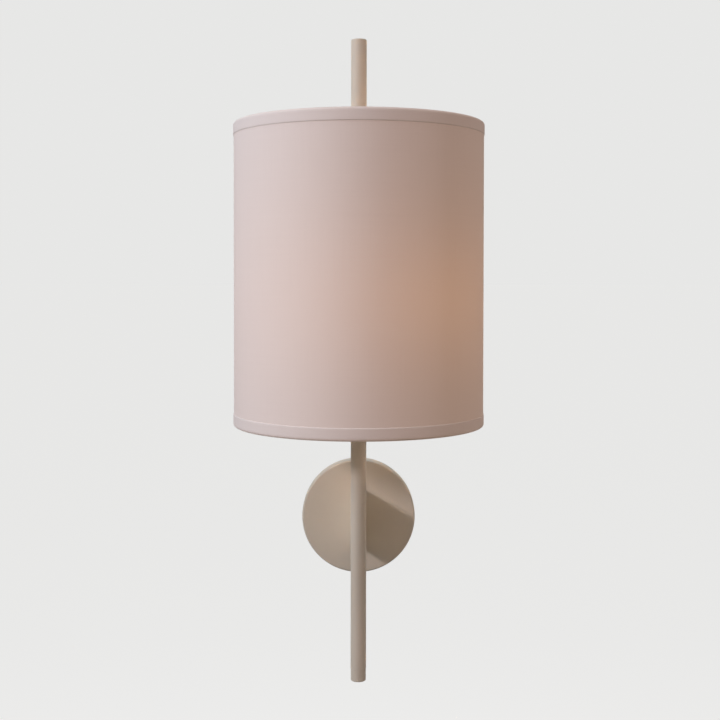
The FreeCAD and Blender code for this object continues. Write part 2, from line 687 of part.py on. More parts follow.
def bulb_pieces():
    where = {"x": SOCKET_X, "y": SOCKET_Y, "z": BULB_FOOT}
    shoulder = "bulb_tip_height + bulb_cap_height / 7"
    tip = turned("bulb_contact",
                 [("0", "0"), ("bulb_tip_radius", "0"), ("bulb_tip_radius", "bulb_tip_height"),
                  ("0", "bulb_tip_height")],
                 rounds=[("bulb_tip_radius", "0", "bulb_tip_height / 2")], **where)
    insulator = turned("bulb_insulator",
                       [("0", "bulb_tip_height"), ("bulb_tip_radius", "bulb_tip_height"),
                        ("2 * bulb_tip_radius", shoulder), ("0", shoulder)], **where)
    cap_top = "bulb_tip_height + bulb_cap_height"
    inner = "bulb_cap_radius - bulb_cap_wall"
    cap = turned("bulb_cap",
                 [("2 * bulb_tip_radius - bulb_cap_wall", shoulder),
                  ("bulb_cap_radius", shoulder + " + bulb_tip_height"),
                  ("bulb_cap_radius", cap_top), (inner, cap_top),
                  (inner, shoulder + " + bulb_tip_height + bulb_cap_wall"),
                  ("2 * bulb_tip_radius - bulb_cap_wall", shoulder + " + 2 * bulb_cap_wall")],
                 **where)
    stem_foot = "bulb_tip_height + bulb_cap_height * 0.75"
    stem_top = "bulb_length - bulb_radius - filament_length / 2"
    stem = turned("bulb_stem",
                  [("0", stem_foot),
                   (inner + " - bulb_glass_wall - 2 * close_gap", stem_foot),
                   ("bulb_tip_radius * 0.8", stem_foot + " + bulb_tip_radius * 2"),
                   ("bulb_tip_radius * 0.8", stem_top + " - bulb_tip_radius"),
                   ("filament_ring + filament_radius", stem_top + " - bulb_tip_height"),
                   ("filament_ring + filament_radius", stem_top), ("0", stem_top)], **where)
    strips = []
    for index in range(4):
        way = bearing(45 + 90 * index)
        strips.append(rod("filament_%d" % index, "filament_radius", "filament_length",
                          x="%s + (%.9f) * filament_ring" % (SOCKET_X, way.x),
                          y="%s + (%.9f) * filament_ring" % (SOCKET_Y, way.y),
                          z="%s + %s" % (BULB_FOOT, stem_top)))
    return [tip, insulator, cap, stem, group("bulb_filaments", strips), bulb_glass()]


# ---------------------------------------------------------------- leads and connectors
def leads():
    """Line and neutral leads: connector, canopy, arm, rod, side arm, socket terminals."""
    items = []
    apart = value("lead_offset")
    reach = value("rod_reach")
    plane = -value("lead_plane")
    level = value("lamp_height")
    foot = value(SOCKET_FOOT)
    axis = Vector(value(SOCKET_X), value(SOCKET_Y), 0)
    spread = value("terminal_spread") - value("small_screw_radius") - 2 * value("lead_radius")
    bends = [value(name) for name in ("lead_bend", "lead_bend", "lead_rod_bend", "lead_lamp_bend",
                                      "lead_nipple_bend", "lead_end_bend", "lead_end_bend")]
    for label, side in (("line_lead", 1), ("neutral_lead", -1)):
        away = LAMP_SIDE * (side * apart)
        out = side * value("connector_spread")
        mouth = value("connector_level")
        deep = value("connector_depth - close_gap")
        end = axis + LAMP_SIDE * (side * spread) + Vector(0, 0, foot + value("base_level"))
        points = [Vector(out, plane, mouth + deep), Vector(out, plane, mouth / 2),
                  Vector(side * apart, plane, 0), Vector(side * apart, -reach, 0),
                  Vector(away.x, -reach + away.y, level),
                  axis + away + Vector(0, 0, level),
                  axis + away + Vector(0, 0, foot + value("nipple_stand + lead_end_bend")),
                  end - Vector(0, 0, value("lead_end_run")), end]
        items.append(lead(label, points, bends, value("lead_radius")))
    return items


def ground_lead():
    """Bare ground wire from the ground screw to the lower arm screw's washer."""
    radius = value("ground_wire_radius")
    past = value("ground_wire_end")
    screw_level = -value("ground_screw_drop")
    washer_level = -value("arm_screw_spacing") / 2
    side = value("washer_radius") + radius + value("close_gap")
    wall = -value("bracket_thickness") - radius - value("close_gap")
    floor = -value(CANOPY_FLOOR) + radius + value("close_gap")
    start = value("small_head_radius") + radius
    points = [Vector(start, wall, screw_level - past), Vector(start, wall, screw_level + 1.5 * past),
              Vector(side, floor, washer_level - past), Vector(side, floor, washer_level + past)]
    return lead("ground_wire", points, [value("ground_wire_bend")] * 2, radius)


def wire_connectors():
    shells = []
    for side in (-1, 1):
        shells.append(turned("connector_%s" % ("left" if side < 0 else "right"),
                             [("connector_radius - 1.2", "0"), ("connector_radius", "0"),
                              ("connector_radius * 0.6", "connector_length"),
                              ("0", "connector_length"), ("0", "connector_depth"),
                              ("connector_radius * 0.4", "connector_depth")],
                             x="%d * connector_spread" % side, y="-lead_plane",
                             z="connector_level"))
    return group("wire_connectors", shells)


# ---------------------------------------------------------------- shade
def hem(name, edge, up):
    """A trim band folded over one rim: outside band, rounded fold and inside flap."""
    def level(size):
        return "(%s - (%d) * (%s))" % (edge, up, size)

    inner = FLAP_RADIUS + " - hem_thickness"
    corners = [("shade_radius", level("hem_height")), ("shade_radius", level("0")),
               (inner, level("0")), (inner, level("hem_flap")),
               (FLAP_RADIUS, level("hem_flap")), (FLAP_RADIUS, level("hem_thickness")),
               ("shade_radius - hem_thickness", level("hem_thickness")),
               ("shade_radius - hem_thickness", level("hem_height"))]
    return turned(name, corners,
                  rounds=[("shade_radius", level("0"), "hem_fold"),
                          (inner, level("0"), "hem_fold"),
                          ("shade_radius - hem_thickness", level("hem_thickness"),
                           "hem_fold - hem_thickness"),
                          (FLAP_RADIUS, level("hem_thickness"), "hem_fold - hem_thickness")],
                  y="-rod_reach")


def spoke_ends(index):
    """Where a spoke leaves the hub and where it meets the upper ring."""
    way = bearing(value("spoke_bearing") + 360.0 / SPOKES * index)
    centre = Vector(0, -value("rod_reach"), 0)
    inner = value("hub_radius - spoke_seat")
    outer = value(FLAP_RADIUS + " + 3 * close_gap")
    low = value(HUB_LEVEL)
    high = value(SHADE_TOP + " - " + RING_DROP)
    return centre + way * inner + Vector(0, 0, low), centre + way * outer + Vector(0, 0, high)


def spoke_rod(name, index, radius, extra="0"):
    start, end = spoke_ends(index)
    way = end - start
    item = rod(name, radius, "sqrt((%s + 3 * close_gap - hub_radius + spoke_seat) ^ 2"
               " + (hub_drop - %s) ^ 2) + %s" % (FLAP_RADIUS, RING_DROP, extra))
    level = {"x": "%.9f * (hub_radius - spoke_seat)" % (start.x / value("hub_radius - spoke_seat")),
             "y": "-rod_reach + (%.9f) * (hub_radius - spoke_seat)"
                  % ((start.y + value("rod_reach")) / value("hub_radius - spoke_seat")),
             "z": HUB_LEVEL}
    return place(item, turn=facing(way), **level)


def shade_pieces():
    low_rim = "(shade_bottom + hem_fold)"
    high_rim = "(%s - hem_fold)" % SHADE_TOP
    fabric = turned("shade_fabric", tube_corners(FABRIC_RADIUS + " - fabric_thickness",
                                                 FABRIC_RADIUS, low_rim, high_rim),
                    y="-rod_reach")
    liner = turned("shade_liner", tube_corners(LINER_RADIUS + " - liner_thickness",
                                               LINER_RADIUS, low_rim, high_rim),
                   y="-rod_reach")
    notches = [spoke_rod("hem_notch_%d" % index, index, "spoke_radius + seat_gap", "1")
               for index in range(SPOKES)]
    top_band = hem("top_hem_band", SHADE_TOP, 1)
    bottom_hem = hem("bottom_hem", "shade_bottom", -1)
    keep_out = turned("notch_limit", tube_corners(LINER_RADIUS + " - liner_thickness",
                                                  "2 * shade_radius", SHADE_TOP + " - hub_drop",
                                                  SHADE_TOP + " + hub_drop"), y="-rod_reach")
    top_hem = cut("top_hem", top_band, [cut("hem_notches", joined("notch_rods", notches),
                                            [keep_out])])
    rings = []
    for label, level in (("top_ring", SHADE_TOP + " - " + RING_DROP),
                         ("bottom_ring", "shade_bottom + " + RING_DROP)):
        ring = doc.addObject("Part::Torus", label)
        ring.Label = label
        bind(ring, Radius1=RING_RADIUS, Radius2="ring_wire_radius")
        rings.append(place(ring, y="-rod_reach", z=level))
    return [fabric, liner, top_hem, bottom_hem] + rings


def spider():
    blank = turned("hub_blank",
                   tube_corners("rod_radius + hub_running_gap", "hub_radius",
                                "-hub_height / 2", "hub_height / 2"),
                   rounds=[("hub_radius", "hub_height / 2", "hub_edge"),
                           ("hub_radius", "-hub_height / 2", "hub_edge / 2")],
                   y="-rod_reach", z=HUB_LEVEL)
    holes = [spoke_rod("hub_hole_%d" % index, index, "spoke_radius + close_gap")
             for index in range(SPOKES)]
    holes.append(rod("hub_screw_hole", "thumb_radius + thread_gap", "2 * hub_radius",
                     y="-rod_reach", z=HUB_LEVEL, turn=facing(THUMB_WAY)))
    hub = cut("spider_hub", blank, holes)
    spokes = group("spider_spokes", [spoke_rod("spoke_%d" % index, index, "spoke_radius")
                                     for index in range(SPOKES)])
    return [hub, spokes]


THUMB_WAY = bearing(value("spoke_bearing") + 180)


def thumb_screw():
    head_low = "hub_radius + thumb_head_stand"
    head_high = head_low + " + thumb_head_height"
    tip = "rod_radius + seat_gap"
    blank = turned("thumb_blank",
                   [("0", tip), ("thumb_radius", tip), ("thumb_radius", head_low),
                    ("thumb_head_radius", head_low), ("thumb_head_radius", head_high),
                    ("0", head_high)],
                   rounds=[("thumb_head_radius", head_high, "hub_edge")],
                   y="-rod_reach", z=HUB_LEVEL, turn=facing(THUMB_WAY))
    grooves = []
    count = int(value("thumb_knurls"))
    across = Vector(0, 0, 1).cross(THUMB_WAY)
    for index in range(count):
        angle = 2 * math.pi * index / count
        spoke = across * math.cos(angle) + Vector(0, 0, 1) * math.sin(angle)
        spots = {axis: "(%s) * (%.9f) + thumb_head_radius * (%.9f)"
                 % (head_low + " - thumb_head_stand / 2", getattr(THUMB_WAY, axis),
                    getattr(spoke, axis)) for axis in ("x", "y", "z")}
        spots["y"] = "-rod_reach + " + spots["y"]
        spots["z"] = HUB_LEVEL + " + " + spots["z"]
        grooves.append(rod("knurl_%d" % index, "knurl_radius", "2 * thumb_head_height",
                           turn=facing(THUMB_WAY), **spots))
    return cut("thumb_screw", blank, grooves)


def stop_collar():
    ring = turned("stop_blank",
                  tube_corners("rod_radius + close_gap", "stop_radius",
                               STOP_TOP + " - stop_height", STOP_TOP),
                  rounds=[("stop_radius", STOP_TOP + " - stop_height", "hub_edge")],
                  y="-rod_reach")
    hole = rod("stop_screw_hole", "small_screw_radius + thread_gap", "2 * stop_radius",
               y="-rod_reach", z=STOP_TOP + " - stop_height / 2", turn=facing(THUMB_WAY * -1))
    return [cut("stop_collar", ring, [hole]),
            set_screw("stop_collar_screw", "rod_radius + close_gap", "stop_radius",
                      STOP_TOP + " - stop_height / 2", THUMB_WAY * -1)]


# ---------------------------------------------------------------- assembly and export
parts = [wall_bracket(), canopy(), canopy_screws(), ground_screw(), canopy_bushing(), arm(),
         arm_anchor()]
parts += arm_fasteners()
parts.append(rod_tube())
parts += rod_ends()
parts += [lamp_collar(), lamp_arm(), lamp_block()]
parts.append(set_screw("lamp_collar_screw", "rod_radius + close_gap", "collar_radius",
                       "lamp_height", LAMP_WAY * -1))
parts += socket_pieces()
parts += bulb_pieces()
parts += leads()
parts += [ground_lead(), wire_connectors()]
parts += shade_pieces()
parts += spider()
parts.append(thumb_screw())
parts += stop_collar()

doc.recompute()
for item in doc.Objects:
    troubles = [word for word in item.State if word in ("Invalid", "Error")]
    if troubles:
        raise RuntimeError("%s is %s" % (item.Label, ", ".join(troubles)))
for part in parts:
    if part.Shape.isNull() or not part.Shape.isValid() or not part.Shape.Solids:
        raise RuntimeError("%s has no valid solid" % part.Label)
for part in parts:
    part.Shape.exportStep("parts/%s.step" % part.Label)
print("%d sub-parts written" % len(parts))
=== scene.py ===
"""Looks of the wall light: cloth shade with folded trim, powder-coated metal and the lit lamp inside."""
import bpy
import math
from mathutils import Euler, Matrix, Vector

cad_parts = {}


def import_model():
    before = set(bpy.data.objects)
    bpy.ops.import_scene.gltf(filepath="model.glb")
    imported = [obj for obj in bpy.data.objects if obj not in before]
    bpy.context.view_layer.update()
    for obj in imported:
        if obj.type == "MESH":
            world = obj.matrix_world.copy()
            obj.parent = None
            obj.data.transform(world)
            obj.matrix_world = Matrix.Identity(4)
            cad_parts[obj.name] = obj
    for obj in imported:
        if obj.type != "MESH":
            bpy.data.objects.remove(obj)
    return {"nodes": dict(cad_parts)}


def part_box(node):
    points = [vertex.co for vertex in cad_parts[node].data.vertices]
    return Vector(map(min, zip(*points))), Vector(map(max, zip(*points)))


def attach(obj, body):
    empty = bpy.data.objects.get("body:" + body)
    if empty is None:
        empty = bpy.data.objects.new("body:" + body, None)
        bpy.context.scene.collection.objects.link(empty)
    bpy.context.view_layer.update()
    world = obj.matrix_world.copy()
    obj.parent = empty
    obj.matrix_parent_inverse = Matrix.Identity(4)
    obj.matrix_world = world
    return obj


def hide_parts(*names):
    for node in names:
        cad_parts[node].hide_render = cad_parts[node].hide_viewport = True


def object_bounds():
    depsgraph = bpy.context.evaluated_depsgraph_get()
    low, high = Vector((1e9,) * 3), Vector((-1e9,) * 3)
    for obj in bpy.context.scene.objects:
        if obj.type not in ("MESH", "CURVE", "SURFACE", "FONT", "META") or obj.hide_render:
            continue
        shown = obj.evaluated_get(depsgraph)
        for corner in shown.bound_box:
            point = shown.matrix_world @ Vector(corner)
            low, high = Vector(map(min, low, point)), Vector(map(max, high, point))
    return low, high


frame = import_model()
CAD_BOX = [list(corner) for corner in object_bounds()]
TAU = 2 * math.pi

# ---------------------------------------------------------------- sizes read from the frame
rod_low, rod_high = (Vector(c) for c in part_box("rod_tube"))
cloth_low, cloth_high = (Vector(c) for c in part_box("shade_fabric"))
top_low, top_high = (Vector(c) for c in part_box("top_hem"))
bottom_low, bottom_high = (Vector(c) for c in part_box("bottom_hem"))
bulb_low, bulb_high = (Vector(c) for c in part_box("bulb_glass"))
ring_low, ring_high = (Vector(c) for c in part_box("top_ring"))
AXIS = Vector(((rod_low.x + rod_high.x) / 2, (rod_low.y + rod_high.y) / 2, 0))
SHADE_R = (top_high.x - top_low.x) / 2          # outside of the trim
CLOTH_R = (cloth_high.x - cloth_low.x) / 2      # outside of the cloth
RING_R = (ring_high.x - ring_low.x) / 2         # outside of the ring wire
BULB = (bulb_low + bulb_high) / 2
BULB_GLOBE = Vector((BULB.x, BULB.y, bulb_high.z - (bulb_high.x - bulb_low.x) / 2))

RING_WIRE = 0.0015                              # radius of the shade's ring wire
AROUND = 288                                    # steps round the shade
CLOTH_ROWS = 48
CLOTH_THICK = 0.0005
TRIM_THICK = 0.00058
TRIM_BAND = top_high.z - top_low.z              # width of the trim's outside band
TRIM_FLAP = 0.008                               # depth of the trim inside the rim
TRIM_BEVEL = 0.0012                             # length over which the trim's edge thins out
TRIM_TUCK = 0.00008                             # height of that edge over the cloth
SEAM_WIDTH = 0.012                              # overlap of the cloth at the back
SEAM_STEP = 0.00045                             # height of the overlap's free edge
SEAM_SHARP = 0.0001                             # width of the step
SEAM_ANGLE = math.pi / 2


# ---------------------------------------------------------------- nodes and materials
def material(name):
    mat = bpy.data.materials.new(name)
    mat.use_nodes = True
    tree = mat.node_tree
    return mat, tree, tree.nodes["Principled BSDF"]


def math_node(tree, operation, first, second=None, third=None):
    node = tree.nodes.new("ShaderNodeMath")
    node.operation = operation
    for index, term in enumerate((first, second, third)):
        if term is None:
            continue
        if isinstance(term, (int, float)):
            node.inputs[index].default_value = term
        else:
            tree.links.new(term, node.inputs[index])
    return node.outputs[0]


def noise(tree, vector, scale, detail=3.0, roughness=0.5):
    node = tree.nodes.new("ShaderNodeTexNoise")
    node.inputs["Scale"].default_value = scale
    node.inputs["Detail"].default_value = detail
    node.inputs["Roughness"].default_value = roughness
    tree.links.new(vector, node.inputs["Vector"])
    return node.outputs["Fac"]


def ramp(tree, factor, stops):
    node = tree.nodes.new("ShaderNodeValToRGB")
    for index, (place, colour) in enumerate(stops):
        stop = node.color_ramp.elements[index] if index < 2 else node.color_ramp.elements.new(place)
        stop.position = place
        stop.color = (*colour, 1)
    tree.links.new(factor, node.inputs["Fac"])
    return node.outputs["Color"]


def bump(tree, height, strength, distance, shader):
    node = tree.nodes.new("ShaderNodeBump")
    node.inputs["Strength"].default_value = strength
    node.inputs["Distance"].default_value = distance
    tree.links.new(height, node.inputs["Height"])
    tree.links.new(node.outputs["Normal"], shader.inputs["Normal"])


def object_place(tree):
    return tree.nodes.new("ShaderNodeTexCoord").outputs["Object"]


def stretched(tree, vector, scale):
    node = tree.nodes.new("ShaderNodeMapping")
    node.inputs["Scale"].default_value = scale
    tree.links.new(vector, node.inputs["Vector"])
    return node.outputs["Vector"]


def coated(name, colour, roughness=0.55, grain=900.0, peel=160.0):
    """Powder coat: fine grain and a slight orange peel, a touch of tone change along the metal."""
    mat, tree, shader = material(name)
    place = object_place(tree)
    low = tuple(c * 0.965 for c in colour)
    high = tuple(min(1.0, c * 1.035) for c in colour)
    tree.links.new(ramp(tree, noise(tree, place, 14.0), [(0.3, low), (0.7, high)]),
                   shader.inputs["Base Color"])
    fine = noise(tree, place, grain, 2.0)
    coarse = noise(tree, place, peel, 2.0)
    height = math_node(tree, "MULTIPLY_ADD", coarse, 0.6, fine)
    bump(tree, height, 0.16, 0.0002, shader)
    rough = math_node(tree, "MULTIPLY_ADD", fine, 0.12, roughness - 0.06)
    tree.links.new(rough, shader.inputs["Roughness"])
    shader.inputs["Specular IOR Level"].default_value = 0.25
    return mat


def bare_metal(name, colour, roughness=0.32, streak=(40.0, 40.0, 900.0)):
    """Plated or drawn metal with fine streaks and slight tarnish."""
    mat, tree, shader = material(name)
    place = object_place(tree)
    streaks = noise(tree, stretched(tree, place, streak), 1.0, 4.0, 0.6)
    tarnish = noise(tree, place, 60.0, 4.0)
    low = tuple(c * 0.82 for c in colour)
    tree.links.new(ramp(tree, tarnish, [(0.32, low), (0.62, colour)]), shader.inputs["Base Color"])
    shader.inputs["Metallic"].default_value = 1.0
    rough = math_node(tree, "MULTIPLY_ADD", streaks, 0.22, roughness - 0.1)
    tree.links.new(rough, shader.inputs["Roughness"])
    bump(tree, streaks, 0.12, 0.0001, shader)
    return mat


def moulded(name, colour, roughness=0.45, texture=500.0, gloss=0.5, mottle=0.09):
    """Moulded plastic, fibre or insulation with a fine surface texture."""
    mat, tree, shader = material(name)
    place = object_place(tree)
    low = tuple(c * (1 - mottle) for c in colour)
    high = tuple(min(1.0, c * (1 + mottle)) for c in colour)
    tree.links.new(ramp(tree, noise(tree, place, 45.0, 4.0), [(0.3, low), (0.7, high)]),
                   shader.inputs["Base Color"])
    fine = noise(tree, place, texture, 3.0)
    tree.links.new(math_node(tree, "MULTIPLY_ADD", fine, 0.15, roughness - 0.07),
                   shader.inputs["Roughness"])
    bump(tree, fine, 0.1, 0.0001, shader)
    shader.inputs["Specular IOR Level"].default_value = gloss
    return mat


def glass(name, colour, roughness, frost=0.0):
    """Lamp glass: thin, slightly rough, with faint streaks of thickness."""
    mat, tree, shader = material(name)
    place = object_place(tree)
    cloud = noise(tree, place, 30.0, 3.0)
    low = tuple(c * 0.96 for c in colour)
    tree.links.new(ramp(tree, cloud, [(0.3, low), (0.7, colour)]), shader.inputs["Base Color"])
    tree.links.new(math_node(tree, "MULTIPLY_ADD", cloud, 0.06, roughness),
                   shader.inputs["Roughness"])
    shader.inputs["Transmission Weight"].default_value = 1.0 - frost
    shader.inputs["IOR"].default_value = 1.45
    return mat


def glowing(name, colour, strength):
    """A lit surface whose brightness varies a little along it."""
    mat, tree, shader = material(name)
    cloud = noise(tree, object_place(tree), 120.0, 2.0)
    low = tuple(c * 0.85 for c in colour)
    tint = ramp(tree, cloud, [(0.3, low), (0.7, colour)])
    tree.links.new(tint, shader.inputs["Base Color"])
    tree.links.new(tint, shader.inputs["Emission Color"])
    shader.inputs["Emission Strength"].default_value = strength
    shader.inputs["Roughness"].default_value = 0.6
    return mat


def woven(name, colour, pitch, through, slub=0.05):
    """Plain weave on a UV map in metres, with the bulb's light through the cloth painted on as emission
    (painted glow).
    """
    mat, tree, shader = material(name)
    uv = tree.nodes.new("ShaderNodeUVMap").outputs["UV"]
    split = tree.nodes.new("ShaderNodeSeparateXYZ")
    tree.links.new(uv, split.inputs[0])
    across, along = split.outputs[0], split.outputs[1]
    wobble = noise(tree, stretched(tree, uv, (60.0, 220.0, 1.0)), 1.0, 2.0)
    shift = math_node(tree, "MULTIPLY", wobble, pitch * 1.4)
    waves = [math_node(tree, "SINE", math_node(tree, "MULTIPLY",
                                               math_node(tree, "ADD", way, shift), math.pi / pitch))
             for way in (across, along)]
    checks = math_node(tree, "MULTIPLY", *waves)
    threads_up = noise(tree, stretched(tree, uv, (1.0 / pitch, 9.0, 1.0)), 1.0, 3.0, 0.6)
    threads_across = noise(tree, stretched(tree, uv, (9.0, 1.0 / pitch, 1.0)), 1.0, 3.0, 0.6)
    slubs = math_node(tree, "ADD", threads_up, threads_across)
    tone = math_node(tree, "MULTIPLY", slubs, 0.5)
    low = tuple(c * (1 - slub) for c in colour)
    high = tuple(min(1.0, c * (1 + slub)) for c in colour)
    tint = ramp(tree, tone, [(0.36, low), (0.64, high)])
    tree.links.new(tint, shader.inputs["Base Color"])
    shader.inputs["Roughness"].default_value = 0.88
    shader.inputs["Specular IOR Level"].default_value = 0.18
    shader.inputs["Sheen Weight"].default_value = 0.12
    shader.inputs["Sheen Roughness"].default_value = 0.5
    height = math_node(tree, "MULTIPLY_ADD", slubs, 0.8, checks)
    bump(tree, height, 0.35, 0.00012, shader)
    # painted glow: emission on the cloth stands in for the bulb's light shining through it
    shader.inputs["Emission Color"].default_value = (*GLOW, 1)
    tree.links.new(painted_bulb_glow(tree, through), shader.inputs["Emission Strength"])
    return mat


def painted_bulb_glow(tree, through):
    """Painted glow: the emission strength that stands in for how strongly the bulb behind the cloth
    lights each place of it: cosine over distance, softened by the lamp glass and liner, plus the even
    light thrown back inside the shade."""
    geometry = tree.nodes.new("ShaderNodeNewGeometry")
    offset = tree.nodes.new("ShaderNodeVectorMath")
    offset.operation = "SUBTRACT"
    tree.links.new(geometry.outputs["Position"], offset.inputs[0])
    offset.inputs[1].default_value = tuple(GLOW_CENTRE)
    length = tree.nodes.new("ShaderNodeVectorMath")
    length.operation = "LENGTH"
    tree.links.new(offset.outputs[0], length.inputs[0])
    facing = tree.nodes.new("ShaderNodeVectorMath")
    facing.operation = "DOT_PRODUCT"
    tree.links.new(offset.outputs[0], facing.inputs[0])
    tree.links.new(geometry.outputs["True Normal"], facing.inputs[1])
    toward = math_node(tree, "MAXIMUM", facing.outputs["Value"], 0.0)
    square = math_node(tree, "POWER", length.outputs["Value"], 2.0)
    direct = math_node(tree, "DIVIDE", toward, square)
    scaled = math_node(tree, "MULTIPLY", direct, SHADE_R * through)
    return math_node(tree, "ADD", scaled, through * GLOW_EVEN)


# colour of the painted glow that stands in for the bulb's light through the cloth
GLOW = (0.72, 0.29, 0.06)
GLOW_CENTRE = BULB_GLOBE - Vector((0, 0, 0.018))
GLOW_EVEN = 0.58                        # even part of the painted glow from inside
COAT = (0.75, 0.69, 0.57)
CLOTH = (0.86, 0.83, 0.80)
MATERIALS = {
    "powder_coat": coated("powder_coat", COAT),
    "zinc": bare_metal("zinc", (0.50, 0.51, 0.50), 0.38),
    "green_zinc": bare_metal("green_zinc", (0.10, 0.36, 0.15)),
    "copper": bare_metal("copper", (0.80, 0.44, 0.29), 0.3),
    "brass": bare_metal("brass", (0.83, 0.64, 0.33), 0.28),
    "bulb_metal": bare_metal("bulb_metal", (0.78, 0.78, 0.77), 0.25),
    "black_nylon": moulded("black_nylon", (0.05, 0.05, 0.05)),
    "amber_plastic": moulded("amber_plastic", (0.80, 0.45, 0.08), 0.35),
    "white_lead": moulded("white_lead", (0.80, 0.79, 0.74), 0.5),
    "black_lead": moulded("black_lead", (0.03, 0.03, 0.03), 0.4),
    "fibre": moulded("fibre", (0.30, 0.21, 0.13), 0.8, 220.0, 0.2),
    "phenolic": moulded("phenolic", (0.045, 0.038, 0.032), 0.3),
    "styrene": moulded("styrene", (0.88, 0.86, 0.82), 0.6, 300.0, 0.3, 0.015),
    "white_enamel": coated("white_enamel", (0.80, 0.79, 0.76), 0.35, 500.0, 90.0),
    "stem_glass": glass("stem_glass", (0.95, 0.97, 0.95), 0.05),
    "bulb_glass": glass("bulb_glass", (1.0, 0.97, 0.92), 0.25),
    "filament": glowing("filament", (1.0, 0.62, 0.28), 8.0),
    # the fourth value sets how much painted bulb glow shows on each cloth
    "shade_cloth": woven("shade_cloth", CLOTH, 0.0006, 0.12, 0.015),
    "trim_cloth": woven("trim_cloth", CLOTH, 0.0006, 0.085, 0.015),
}

NODE_FINISH = {
    "powder_coat": ["rod_tube", "rod_end_cap", "rod_top_plug", "arm", "canopy", "canopy_screws",
                    "lamp_collar", "lamp_arm", "lamp_block", "socket_cap", "socket_shell",
                    "stop_collar", "spider_hub", "thumb_screw"],
    "zinc": ["wall_bracket", "arm_screws", "arm_washers", "arm_anchor", "socket_nipple",
             "nipple_nut", "lamp_collar_screw", "stop_collar_screw", "terminal_screws"],
    "green_zinc": ["ground_screw"],
    "copper": ["ground_wire"],
    "black_nylon": ["canopy_bushing"],
    "amber_plastic": ["wire_connectors"],
    "white_lead": ["neutral_lead"],
    "black_lead": ["line_lead"],
    "fibre": ["socket_sleeve"],
    "phenolic": ["socket_base", "bulb_insulator"],
    "brass": ["socket_screw_shell", "socket_contact", "bulb_contact"],
    "bulb_metal": ["bulb_cap"],
    "bulb_glass": ["bulb_glass"],
    "stem_glass": ["bulb_stem"],
    "filament": ["bulb_filaments"],
    "styrene": ["shade_liner"],
    "white_enamel": ["top_ring", "bottom_ring", "spider_spokes"],
}


def dress_nodes():
    for finish, nodes in NODE_FINISH.items():
        for node in nodes:
            mesh = frame["nodes"][node].data
            mesh.materials.clear()
            mesh.materials.append(MATERIALS[finish])


# ---------------------------------------------------------------- cloth pieces
def seam_lift(angle):
    """The cloth's upper layer ends in a step at the seam and lies down again past the overlap."""
    past = (angle - SEAM_ANGLE) % TAU * SHADE_R / (2 * SEAM_WIDTH)
    return SEAM_STEP * max(0.0, 1 - past) ** 2


def round_grid(name, profile, finish):
    """A sheet swept round the shade's axis from (radius, height, run) points of its profile."""
    edge = SEAM_SHARP / SHADE_R
    angles = [SEAM_ANGLE + TAU * step / AROUND for step in range(AROUND)]
    angles.append(SEAM_ANGLE + TAU - edge)
    rows = len(profile)
    vertices = []
    for angle in angles:
        for radius, height, run in profile:
            spot = radius + seam_lift(angle)
            vertices.append((AXIS.x + spot * math.cos(angle), AXIS.y + spot * math.sin(angle),
                             height))
    faces = []
    unrolled = []
    for step, angle in enumerate(angles):
        after = (step + 1) % len(angles)
        ends = (angle, angles[after] if after else SEAM_ANGLE + TAU)
        for row in range(rows - 1):
            faces.append((step * rows + row, after * rows + row,
                          after * rows + row + 1, step * rows + row + 1))
            unrolled += [(end * SHADE_R, profile[level][2])
                         for end, level in ((ends[0], row), (ends[1], row),
                                            (ends[1], row + 1), (ends[0], row + 1))]
    mesh = bpy.data.meshes.new(name)
    mesh.from_pydata(vertices, [], faces)
    layer = mesh.uv_layers.new(name="metres")
    for loop, spot in enumerate(unrolled):
        layer.data[loop].uv = spot
    mesh.materials.append(MATERIALS[finish])
    for face in mesh.polygons:
        face.use_smooth = True
    piece = bpy.data.objects.new(name, mesh)
    bpy.context.scene.collection.objects.link(piece)
    return piece


def thicken(piece, thickness):
    solid = piece.modifiers.new("thickness", "SOLIDIFY")
    solid.thickness = thickness
    solid.offset = -1.0


def cloth_piece():
    low, high = cloth_low.z, cloth_high.z
    runs = [(high - low) * row / CLOTH_ROWS for row in range(CLOTH_ROWS + 1)]
    piece = round_grid("shade_cloth", [(CLOTH_R, low + run, run) for run in runs], "shade_cloth")
    thicken(piece, CLOTH_THICK)
    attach(piece, "shade")
    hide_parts("shade_fabric")


def trim_profile(edge, up):
    """Outside band, rolled fold over the ring wire, inside flap: outer surface points."""
    outer = SHADE_R
    inner = RING_R - 2 * RING_WIRE - TRIM_THICK
    centre = (outer + inner) / 2
    reach = (outer - inner) / 2
    points = []
    for part in range(4):
        angle = math.pi / 2 * part / 4
        points.append((outer - (outer - CLOTH_R - TRIM_TUCK) * (1 - math.sin(angle)),
                       edge - up * (TRIM_BAND - TRIM_BEVEL * (1 - math.cos(angle)))))
    for part in range(7):
        points.append((outer, edge - up * (TRIM_BAND - TRIM_BEVEL +
                                           (reach - TRIM_BAND + TRIM_BEVEL) * part / 6)))
    for part in range(1, 12):
        angle = math.pi * part / 12
        points.append((centre + reach * math.cos(angle),
                       edge - up * (reach - reach * math.sin(angle))))
    for part in range(5):
        points.append((inner, edge - up * (reach + (TRIM_FLAP - reach) * part / 4)))
    profile = []
    run = 0.0
    for index, (radius, height) in enumerate(points):
        if index:
            before = points[index - 1]
            run += math.hypot(radius - before[0], height - before[1])
        profile.append((radius, height, run))
    return profile, run


def trim_piece(name, edge, up, node):
    profile, run = trim_profile(edge, up)
    piece = round_grid(name, profile, "trim_cloth")
    if up < 0:
        piece.data.flip_normals()
    thicken(piece, TRIM_THICK)
    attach(piece, "shade")
    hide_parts(node)


# ---------------------------------------------------------------- stage, light and camera
FLOOR_DROP = 0.90                       # floor below the rod's lower end
BACKDROP = (0.80, 0.80, 0.792)
FLOOR_GLOW = 0.983                      # how pale the floor is to the eye alone


